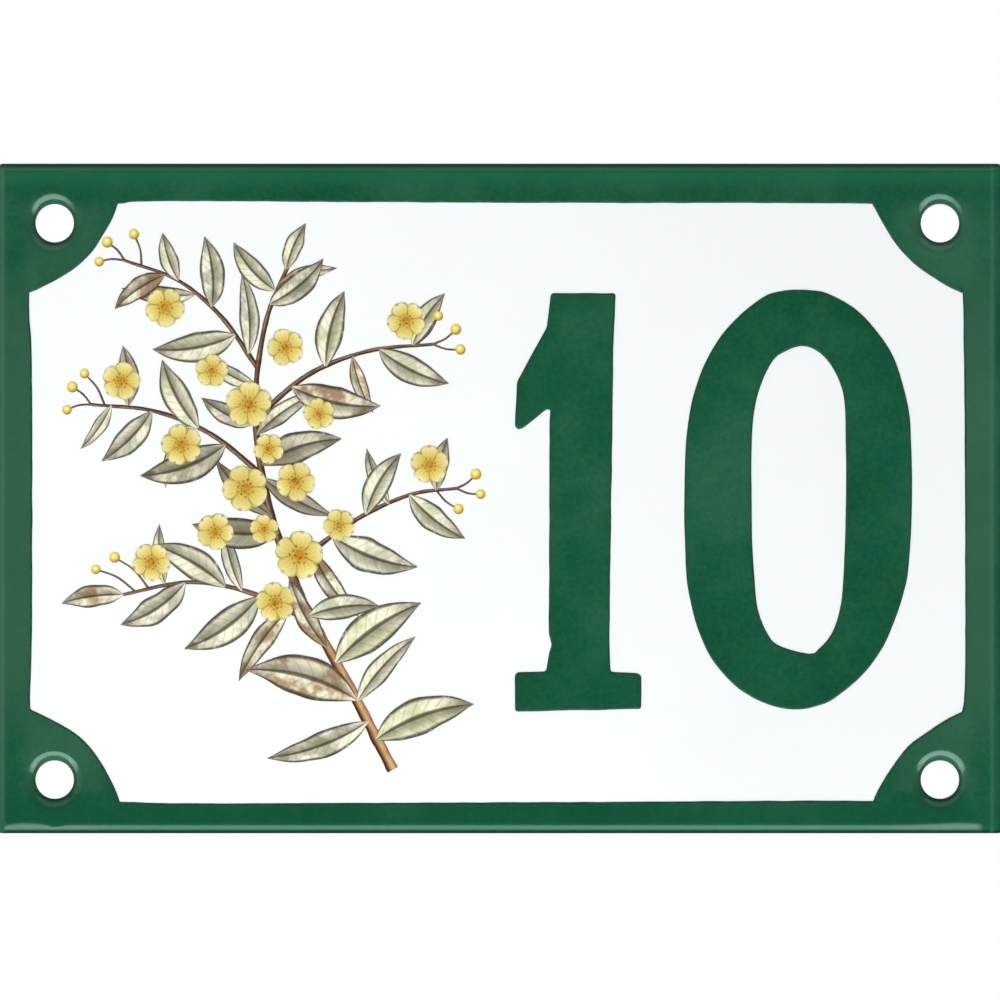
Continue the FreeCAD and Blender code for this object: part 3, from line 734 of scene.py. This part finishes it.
# how strongly the coats throw light back: on the flats, on the coat's thin edge and on the bends
FLAT_LEVEL = 0.12
EDGE_LEVEL = 0.2
BEND_LEVEL = 0.5
# how squarely a flat faces the front, and a bend, as the front-facing share of its normal
FLAT_FACING = 0.996
BEND_FACING = 0.98
# roughness and refraction
PRINT_ROUGHNESS = 0.18
WHITE_ROUGHNESS = 0.14
GREEN_ROUGHNESS = 0.17
LOW_BEND_ROUGHNESS = 0.17
REFRACTION = 1.6
GREEN_REFRACTION = 1.7
# the tints of the light that the green throws back, as shares of red, green and blue
GREEN_TINT = (0.66, 1.0, 0.89)
BEND_TINT = (0.4, 0.92, 0.7)
EDGE_TINT = (0.65, 1.0, 0.88)
# the tips of the dishes' shine lie this far across
HOLE_ACROSS = 66.1
# The green coat's patches, most of them painted light and shade: their colour, strength and spans. A span has a
# direction, the places in millimetres where it is nought and where it is full, and what is left of it at nought,
# if anything.
GREEN_TONES_AND_PAINTED_LIGHT = [
    # lighter and greyer in the four corners, round the screw holes
    ((68, 110, 86), 0.3, [("across", 56.0, 62.0), ("across", 72.5, 69.0), ("up", 29.0, 34.0), ("up", 45.0, 42.5)]),
    # painted light along the top, painted shade along the bottom, and a deeper painted shade on the turned-under
    # edge
    ((33, 104, 72), 0.55, [("z", 45.5, 48.0)]),
    ((16, 81, 54), 0.5, [("z", -44.5, -46.5)]),
    ((16, 50, 36), 0.9, [("z", -49.3, -49.7)]),
    # a painted reflection down both sides, weaker on the right bend
    ((60, 100, 78), 0.6, [("across", 68.5, 69.8), ("up", 40.0, 24.0), ("x", 74.1, 73.3, 1 / 6)]),
    # painted highlights on the right bend's ridge and on the left bend
    ((54, 120, 90), 0.35, [("x", 72.9, 73.3), ("x", 73.9, 73.5)]),
    ((64, 116, 90), 0.6, [("x", -73.4, -74.8)]),
]


def srgb(red, green, blue):
    """A colour from 0 to 255 as the light that it stands for."""
    def linear(level):
        level /= 255
        return level / 12.92 if level <= 0.04045 else ((level + 0.055) / 1.055) ** 2.4
    return tuple(linear(level) for level in (red, green, blue))


class Tree:
    """A tree of nodes, added by short calls."""

    # where a mix node has its two contents and its result
    MIX_SOCKETS = {"FLOAT": (2, 3, 0), "RGBA": (6, 7, 2)}

    def __init__(self, node_tree):
        self.nodes = node_tree.nodes
        self.links = node_tree.links

    def put(self, socket, content):
        """Feeds a socket from another one, or sets its number or its colour."""
        if isinstance(content, bpy.types.NodeSocket):
            self.links.new(content, socket)
        else:
            socket.default_value = (*content, 1.0) if isinstance(content, tuple) else content

    def add(self, kind, inputs=None, **settings):
        node = self.nodes.new(kind)
        for setting, content in settings.items():
            setattr(node, setting, content)
        for key, content in (inputs or {}).items():
            self.put(node.inputs[key], content)
        return node

    def mix(self, factor, first, second, kind="RGBA"):
        first_key, second_key, result = self.MIX_SOCKETS[kind]
        inputs = {"Factor": factor, first_key: first, second_key: second}
        return self.add("ShaderNodeMix", inputs, data_type=kind).outputs[result]

    def math(self, operation, first, second=0.0):
        return self.add("ShaderNodeMath", {0: first, 1: second}, operation=operation).outputs[0]

    def times(self, first, *others):
        for other in others:
            first = self.math("MULTIPLY", first, other)
        return first

    def split(self, vector):
        return self.add("ShaderNodeSeparateXYZ", {0: vector}).outputs

    def blend(self, value, low, high):
        """Nought below the low value, one above the high one, and smooth between. Either may be the larger."""
        inputs = {"Value": value, "From Min": low, "From Max": high}
        return self.add("ShaderNodeMapRange", inputs, interpolation_type="SMOOTHSTEP").outputs["Result"]


class Look(Tree):
    """A material's nodes."""

    def __init__(self, name):
        self.material = bpy.data.materials.new(name)
        self.material.use_nodes = True
        super().__init__(self.material.node_tree)
        self.surface = self.nodes["Principled BSDF"]
        coordinates = self.add("ShaderNodeTexCoord").outputs
        self.place = coordinates["Object"]
        self.normal = coordinates["Normal"]

    def feed(self, name, content):
        self.put(self.surface.inputs[name], content)

    def gloss(self, roughness, level=FLAT_LEVEL, refraction=REFRACTION):
        self.feed("Roughness", roughness)
        self.feed("IOR", refraction)
        self.feed("Specular IOR Level", level)

    def noise(self, scale, detail=3.0, roughness=0.5):
        """Noise whose largest patches are about one over the scale of a metre across."""
        inputs = {"Vector": self.place, "Scale": scale, "Detail": detail, "Roughness": roughness}
        return self.add("ShaderNodeTexNoise", inputs).outputs["Fac"]

    def peel(self, scale, depth, strength, detail=2.0):
        """Fine unevenness, its depth in millimetres."""
        inputs = {"Height": self.noise(scale, detail), "Distance": depth * MM, "Strength": strength}
        self.feed("Normal", self.add("ShaderNodeBump", inputs).outputs["Normal"])

    def ramp(self, factor, *stops):
        """A ramp through stops, each a position and a colour from 0 to 255 or a plain level from 0 to 1."""
        node = self.add("ShaderNodeValToRGB", {"Fac": factor})
        elements = node.color_ramp.elements
        while len(elements) < len(stops):
            elements.new(0.5)
        for element, (position, colour) in zip(elements, stops):
            element.position = position
            element.color = (*(srgb(*colour) if isinstance(colour, tuple) else (colour,) * 3), 1.0)
        return node.outputs["Color"]

    def wash(self, coat, colour, share, strength=1.0):
        """The coat with a colour laid over it, as far as the share and the strength say."""
        return self.mix(self.times(share, strength), coat, srgb(*colour))

    def within(self, places, *spans):
        """The product of some spans, which are given as in the green coat's patches."""
        parts = []
        for name, start, full, *left in spans:
            part = self.blend(places[name], start * MM, full * MM)
            for least in left:
                part = self.math("ADD", least, self.times(part, 1 - least))
            parts.append(part)
        return self.times(*parts)

    def away(self, pair, middle):
        """The distance of a pair of values from a middle pair."""
        apart = [self.math("SUBTRACT", value, place) for value, place in zip(pair, middle)]
        return self.math("SQRT", self.math("ADD", *(self.times(length, length) for length in apart)))

    def marks(self):
        """A print's marks: a chance number for each sheet, the share along it and the share across it."""
        along, across, _ = self.split(self.add("ShaderNodeUVMap", uv_map="print").outputs["UV"])
        inputs = {"W": self.math("FLOOR", along)}
        lot = self.add("ShaderNodeTexWhiteNoise", inputs, noise_dimensions="1D").outputs["Value"]
        return lot, self.math("FRACT", along), across

    def from_middle(self, share):
        """How far a share is from a half."""
        return self.math("ABSOLUTE", self.math("SUBTRACT", share, 0.5))

    def stripes(self, value):
        """A half at every whole number, and nought halfway between."""
        return self.from_middle(self.math("FRACT", value))

    def turned(self, flat, bent):
        """One value on the flats, which face the front, and another on the bends beside them."""
        facing = self.math("ABSOLUTE", self.split(self.normal)[1])
        share = self.blend(facing, FLAT_FACING, BEND_FACING)
        return self.math("ADD", flat, self.times(share, bent - flat))


def material(dress):
    """Makes a material. The function that dresses it gives its base colour, and lends it its name."""
    look = Look(dress.__name__)
    look.feed("Base Color", dress(look))
    return look.material


def green_enamel(look):
    """Dark green enamel: glossy and cloudy, with a painted reflection down the two sides of the border and painted
    light and shade along its top, bottom and bends.
    """
    x, y, z = look.split(look.place)
    across, up = look.math("ABSOLUTE", x), look.math("ABSOLUTE", z)
    beside = look.math("SUBTRACT", x, look.times(look.math("SIGN", x), HOLE_ACROSS * MM))
    places = {"x": x, "y": y, "z": z, "across": across, "up": up, "beside": beside}

    drift = look.ramp(look.noise(45.0, 3.0, 0.6),
                        (0.33, (14, 74, 48)), (0.5, (25, 86, 60)), (0.67, (45, 99, 75)))
    mottle = look.ramp(look.noise(300.0, 3.0, 0.6),
                         (0.36, (2, 75, 61)), (0.5, (16, 86, 60)), (0.64, (44, 97, 60)))
    grain = look.ramp(look.noise(1300.0, 2.0, 0.6), (0.3, (2, 64, 44)), (0.7, (42, 105, 78)))
    coat = look.mix(0.22, look.mix(0.2, drift, mottle), grain)
    # the patches: a lighter tone in the corners, and painted light, shade, highlights and reflections along the
    # sides, top, bottom and bends
    for colour, strength, spans in GREEN_TONES_AND_PAINTED_LIGHT:
        coat = look.wash(coat, colour, look.within(places, *spans), strength)

    # the long bends' shine is greener, the lower bend's is softer, and it ends short of the corners
    long_bends = look.within(places, ("up", 47.8, 48.4), ("across", 66.0, 52.0))
    look.feed("Specular Tint", look.mix(long_bends, GREEN_TINT, BEND_TINT))
    low_bend = look.within(places, ("z", -47.8, -48.6))
    right_end = look.within(places, ("x", 71.0, 72.3))
    left_end = look.within(places, ("x", -73.6, -74.2))
    ends = look.times(look.math("MAXIMUM", right_end, left_end), low_bend)
    worn = look.math("MAXIMUM", look.within(places, ("z", -49.4, -49.8)), ends)
    worn = look.times(worn, look.within(places, ("y", -2.1, -2.5)))
    # the upper dishes' shine fades to the right
    dulled = look.within(places, ("beside", 0.2, 2.6), ("across", 72.2, 71.2), ("z", 30.0, 34.0),
                           ("z", 47.5, 46.5))
    worn = look.math("MAXIMUM", worn, look.times(dulled, 0.6))
    clean = look.math("SUBTRACT", 1.0, worn)
    look.gloss(look.math("ADD", GREEN_ROUGHNESS, look.times(low_bend, LOW_BEND_ROUGHNESS)),
                 look.times(clean, look.turned(FLAT_LEVEL, BEND_LEVEL)), GREEN_REFRACTION)
    look.peel(650.0, 0.02, 0.6)
    return coat


def shaded_enamel_edge(look):
    """The green coat's rounded edge, darkened with a painted shade."""
    look.feed("Specular Tint", EDGE_TINT)
    look.gloss(0.3, EDGE_LEVEL)
    # a dark green: the painted shade along the coat's rounded edge
    return look.ramp(look.noise(900.0), (0.35, (26, 66, 49)), (0.65, (40, 84, 64)))


def white_enamel(look):
    """White enamel, cool and very faintly uneven, with a painted shade that makes it a little greyer towards the
    right.
    """
    x = look.split(look.place)[0]
    # faint unevenness, and a painted shade that greys the white towards the right
    drift = look.math("ADD", look.times(look.noise(24.0), 0.5), look.times(x, 5.0))
    look.gloss(WHITE_ROUGHNESS)
    look.peel(500.0, 0.02, 0.5)
    return look.ramp(drift, (0.15, (247, 251, 251)), (0.55, (240, 244, 245)))


def leaf_print(look):
    """Grey-green washes with a dark line round them, a midrib, side veins and a darker half."""
    lot, along, across = look.marks()
    side = look.times(look.from_middle(across), 2.0)
    grain = look.noise(900.0, 4.0, 0.65)
    patches = look.noise(260.0, 3.0, 0.6)
    coat = look.ramp(lot, (0.0, (214, 218, 168)), (0.25, (208, 210, 180)), (0.5, (186, 186, 168)),
                       (0.68, (166, 168, 128)), (0.82, (184, 154, 114)), (1.0, (126, 102, 90)))
    coat = look.wash(coat, (251, 247, 220), look.blend(patches, 0.4, 0.6))
    # darker deep inside the spray
    x, _, z = look.split(look.place)
    inner = look.blend(look.away((x, z), (-36.0 * MM, 1.0 * MM)), 14.0 * MM, 5.0 * MM)
    coat = look.wash(coat, (88, 68, 58), look.times(inner, look.blend(patches, 0.3, 0.55)), 0.68)
    # the darker half, the side veins, the umber tip, the midrib and the line round the leaf
    half = look.times(look.blend(across, 0.54, 0.46), look.blend(side, 1.0, 0.1))
    coat = look.wash(coat, (92, 86, 64), half, 0.62)
    veins = look.stripes(look.math("SUBTRACT", look.times(along, 9.0), look.times(side, 1.3)))
    coat = look.wash(coat, (96, 98, 76), look.blend(veins, 0.14, 0.03), 0.24)
    tip = look.times(look.blend(along, 0.62, 0.96), look.blend(grain, 0.2, 0.55))
    coat = look.wash(coat, (84, 68, 54), tip, 0.75)
    coat = look.wash(coat, (68, 60, 46), look.blend(side, 0.16, 0.06), 0.85)
    line = look.times(look.blend(side, 0.7, 0.9), look.blend(grain, 0.15, 0.45))
    look.gloss(PRINT_ROUGHNESS)
    return look.wash(coat, (64, 58, 46), line, 0.92)


def petal_print(look):
    """Yellow petals: deeper towards the middle, streaked, with a thin ochre line round them."""
    lot, along, across = look.marks()
    side = look.times(look.from_middle(across), 2.0)
    coat = look.ramp(along, (0.05, (196, 160, 64)), (0.35, (226, 202, 100)), (0.7, (238, 224, 142)),
                       (1.0, (248, 240, 190)))
    streaks = look.blend(look.stripes(look.times(across, 5.0)), 0.22, 0.02)
    coat = look.wash(coat, (168, 148, 76), look.times(streaks, look.blend(along, 0.85, 0.3)), 0.4)
    coat = look.wash(coat, (204, 188, 102), lot, 0.4)
    rim = look.math("MAXIMUM", look.blend(side, 0.74, 0.95), look.blend(along, 0.9, 0.985))
    rim = look.times(rim, look.blend(look.noise(1100.0), 0.25, 0.6))
    look.gloss(PRINT_ROUGHNESS)
    return look.wash(coat, (146, 124, 60), rim, 0.75)


def heart_print(look):
    """The flowers' middles: orange and brown specks."""
    specks = look.ramp(look.noise(2600.0, 2.0), (0.35, (150, 96, 34)), (0.5, (214, 142, 40)),
                         (0.65, (178, 158, 60)))
    look.gloss(PRINT_ROUGHNESS)
    return specks


def bud_print(look):
    """Round buds: a pale side, a green shadow below and a thin line round them."""
    _, along, across = look.marks()
    round_bud = look.ramp(look.away((along, across), (0.42, 0.62)), (0.08, (252, 242, 160)),
                            (0.3, (240, 212, 84)), (0.46, (196, 176, 70)), (0.6, (120, 112, 58)))
    look.gloss(PRINT_ROUGHNESS)
    return round_bud


def stem_print(look):
    """Brown stems, tan along one side and dark along the other, and paler and woodier at the foot."""
    across = look.marks()[2]
    grain = look.noise(700.0, 4.0, 0.6)
    young = look.ramp(across, (0.1, (62, 44, 36)), (0.4, (98, 70, 52)), (0.64, (176, 142, 104)),
                        (0.8, (132, 98, 70)), (0.94, (74, 52, 40)))
    young = look.wash(young, (76, 52, 44), look.blend(grain, 0.35, 0.65), 0.65)
    bark = look.ramp(across, (0.04, (150, 104, 68)), (0.2, (208, 156, 104)), (0.4, (230, 190, 138)),
                       (0.62, (186, 134, 84)), (0.8, (64, 46, 34)))
    bark = look.wash(bark, (120, 78, 48), look.blend(grain, 0.45, 0.7), 0.35)
    woody = look.blend(look.split(look.place)[2], -8.0 * MM, -30.0 * MM)
    look.gloss(PRINT_ROUGHNESS)
    return look.mix(look.times(woody, 0.9), young, bark)


def ground_coat(look):
    """The dark ground coat behind: blue black, with the paler flecks that firing leaves."""
    drift = look.noise(60.0, 4.0)
    base = look.ramp(drift, (0.3, (22, 26, 33)), (0.7, (33, 38, 47)))
    flecks = look.ramp(look.noise(1900.0, 2.0), (0.66, 0.0), (0.74, 1.0))
    look.feed("Roughness", look.ramp(drift, (0.3, 0.22), (0.7, 0.36)))
    look.peel(700.0, 0.04, 0.8, 3.0)
    return look.mix(flecks, base, srgb(70, 76, 84))


# Soft oblong lamps in front of the plaque: each has its name, how many degrees to the right and up it stands, its
# width and height in metres, and its brightness.
LAMPS = [
    ("low_panel", 0, -40, (2.0, 0.74), 3.72),
    ("high_panel", 0, 54, (2.2, 0.9), 0.5),
    ("left_panel", -62, 0, (1.2, 1.4), 0.3),
    ("low_left_panel", -58, -32, (0.6, 0.5), 2.6),
    ("low_right_panel", 58, -32, (0.6, 0.5), 2.6),
]
LAMP_DISTANCE = 1.3
# how bright the surround is to the coats that mirror it, in front, and where it lights the plaque
REFLECTED_IN_FRONT = 0.06
WORLD_FILL = 0.26
FLOOR_LEVEL = -1.35
FLOOR_HALF = 1.6
FLOOR_ROUGHNESS = 0.8

# The camera sees what the photograph does: 149.16 mm across, square on.
VIEW_WIDTH = 149.16
VIEW_MIDDLE = (0.0, -0.24)
LENS = 300.0
SENSOR = 36.0
NEAREST_SEEN = 0.05


def make_lamp(name, right, up, size, brightness):
    """A lamp that faces the plaque."""
    lamp = bpy.data.lights.new(name, "AREA")
    lamp.shape = "RECTANGLE"
    lamp.size, lamp.size_y = size
    lamp.energy = brightness * math.pi * size[0] * size[1]
    right, up = math.radians(right), math.radians(up)
    holder = bpy.data.objects.new(name, lamp)
    holder.location = Vector((math.sin(right) * math.cos(up), -math.cos(right) * math.cos(up), math.sin(up)))
    holder.location *= LAMP_DISTANCE
    holder.rotation_euler = (-holder.location).to_track_quat("-Z", "Y").to_euler()
    bpy.context.collection.objects.link(holder)


def make_world():
    """A white surround where it is seen, and a softer one where it lights the plaque."""
    world = bpy.data.worlds.new("surround")
    bpy.context.scene.world = world
    world.use_nodes = True
    tree = Tree(world.node_tree)
    tree.nodes.clear()
    rays = tree.add("ShaderNodeLightPath").outputs
    behind = tree.split(tree.add("ShaderNodeTexCoord").outputs["Generated"])[1]
    # white behind the plaque, and dim elsewhere
    inputs = {"Value": behind, "From Min": 0.9, "From Max": 1.0, "To Min": REFLECTED_IN_FRONT, "To Max": 1.0}
    reflected = tree.add("ShaderNodeMapRange", inputs).outputs["Result"]
    seen = tree.math("MAXIMUM", rays["Is Camera Ray"], rays["Is Transmission Ray"])
    strength = tree.mix(rays["Is Glossy Ray"], WORLD_FILL, reflected, "FLOAT")
    strength = tree.mix(seen, strength, 1.0, "FLOAT")
    inputs = {"Color": (1.0, 1.0, 1.0), "Strength": strength}
    background = tree.add("ShaderNodeBackground", inputs).outputs[0]
    tree.add("ShaderNodeOutputWorld", {"Surface": background})


def pale_floor(look):
    look.feed("Roughness", FLOOR_ROUGHNESS)
    return look.ramp(look.noise(3.0, 2.0), (0.3, (232, 232, 230)), (0.7, (238, 238, 236)))


def make_floor():
    """A plain pale floor, well below the plaque."""
    corners = [(x * FLOOR_HALF, y * FLOOR_HALF, 0) for x, y in ((-1, -1), (1, -1), (1, 1), (-1, 1))]
    mesh = bpy.data.meshes.new("floor")
    mesh.from_pydata(corners, [], [(0, 1, 2, 3)])
    mesh.materials.append(material(pale_floor))
    floor = bpy.data.objects.new("floor", mesh)
    floor.location = (0, 0, FLOOR_LEVEL)
    bpy.context.collection.objects.link(floor)


def make_camera():
    camera = bpy.data.cameras.new("camera")
    camera.lens = LENS
    camera.sensor_width = SENSOR
    camera.clip_start = NEAREST_SEEN
    holder = bpy.data.objects.new("camera", camera)
    distance = VIEW_WIDTH * LENS / SENSOR
    holder.location = (VIEW_MIDDLE[0] * MM, (FRONT - distance) * MM, VIEW_MIDDLE[1] * MM)
    holder.rotation_euler = (math.pi / 2, 0, 0)
    bpy.context.collection.objects.link(holder)
    bpy.context.scene.camera = holder


def main():
    bpy.context.scene.view_settings.view_transform = "Standard"
    green, edge = material(green_enamel), material(shaded_enamel_edge)

    plate = make_plate([green, material(white_enamel), material(ground_coat), edge])
    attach(plate, "root")
    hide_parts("plate")

    # stencilled by hand: how unsteady each edge is, over what length, and its place in the noise
    one = wobble(straight_outline(ONE_EDGE, 0.45), 0.06, 3.0, 4.5)
    nought = wobble(closed_curve(NOUGHT_EDGE), 0.05, 4.0, 6.5)
    counter = wobble(closed_curve(COUNTER_EDGE), 0.05, 4.0, 8.5)
    for numeral in (make_numeral("numeral_one", one, [], [green, edge]),
                    make_numeral("numeral_nought", nought, [counter], [green, edge])):
        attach(numeral, "root")

    prints = (stem_print, leaf_print, petal_print, heart_print, bud_print)
    for piece, slot in make_spray(*map(material, prints)):
        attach(piece, "root")

    make_floor()
    make_world()
    for lamp in LAMPS:
        make_lamp(*lamp)
    make_camera()


main()
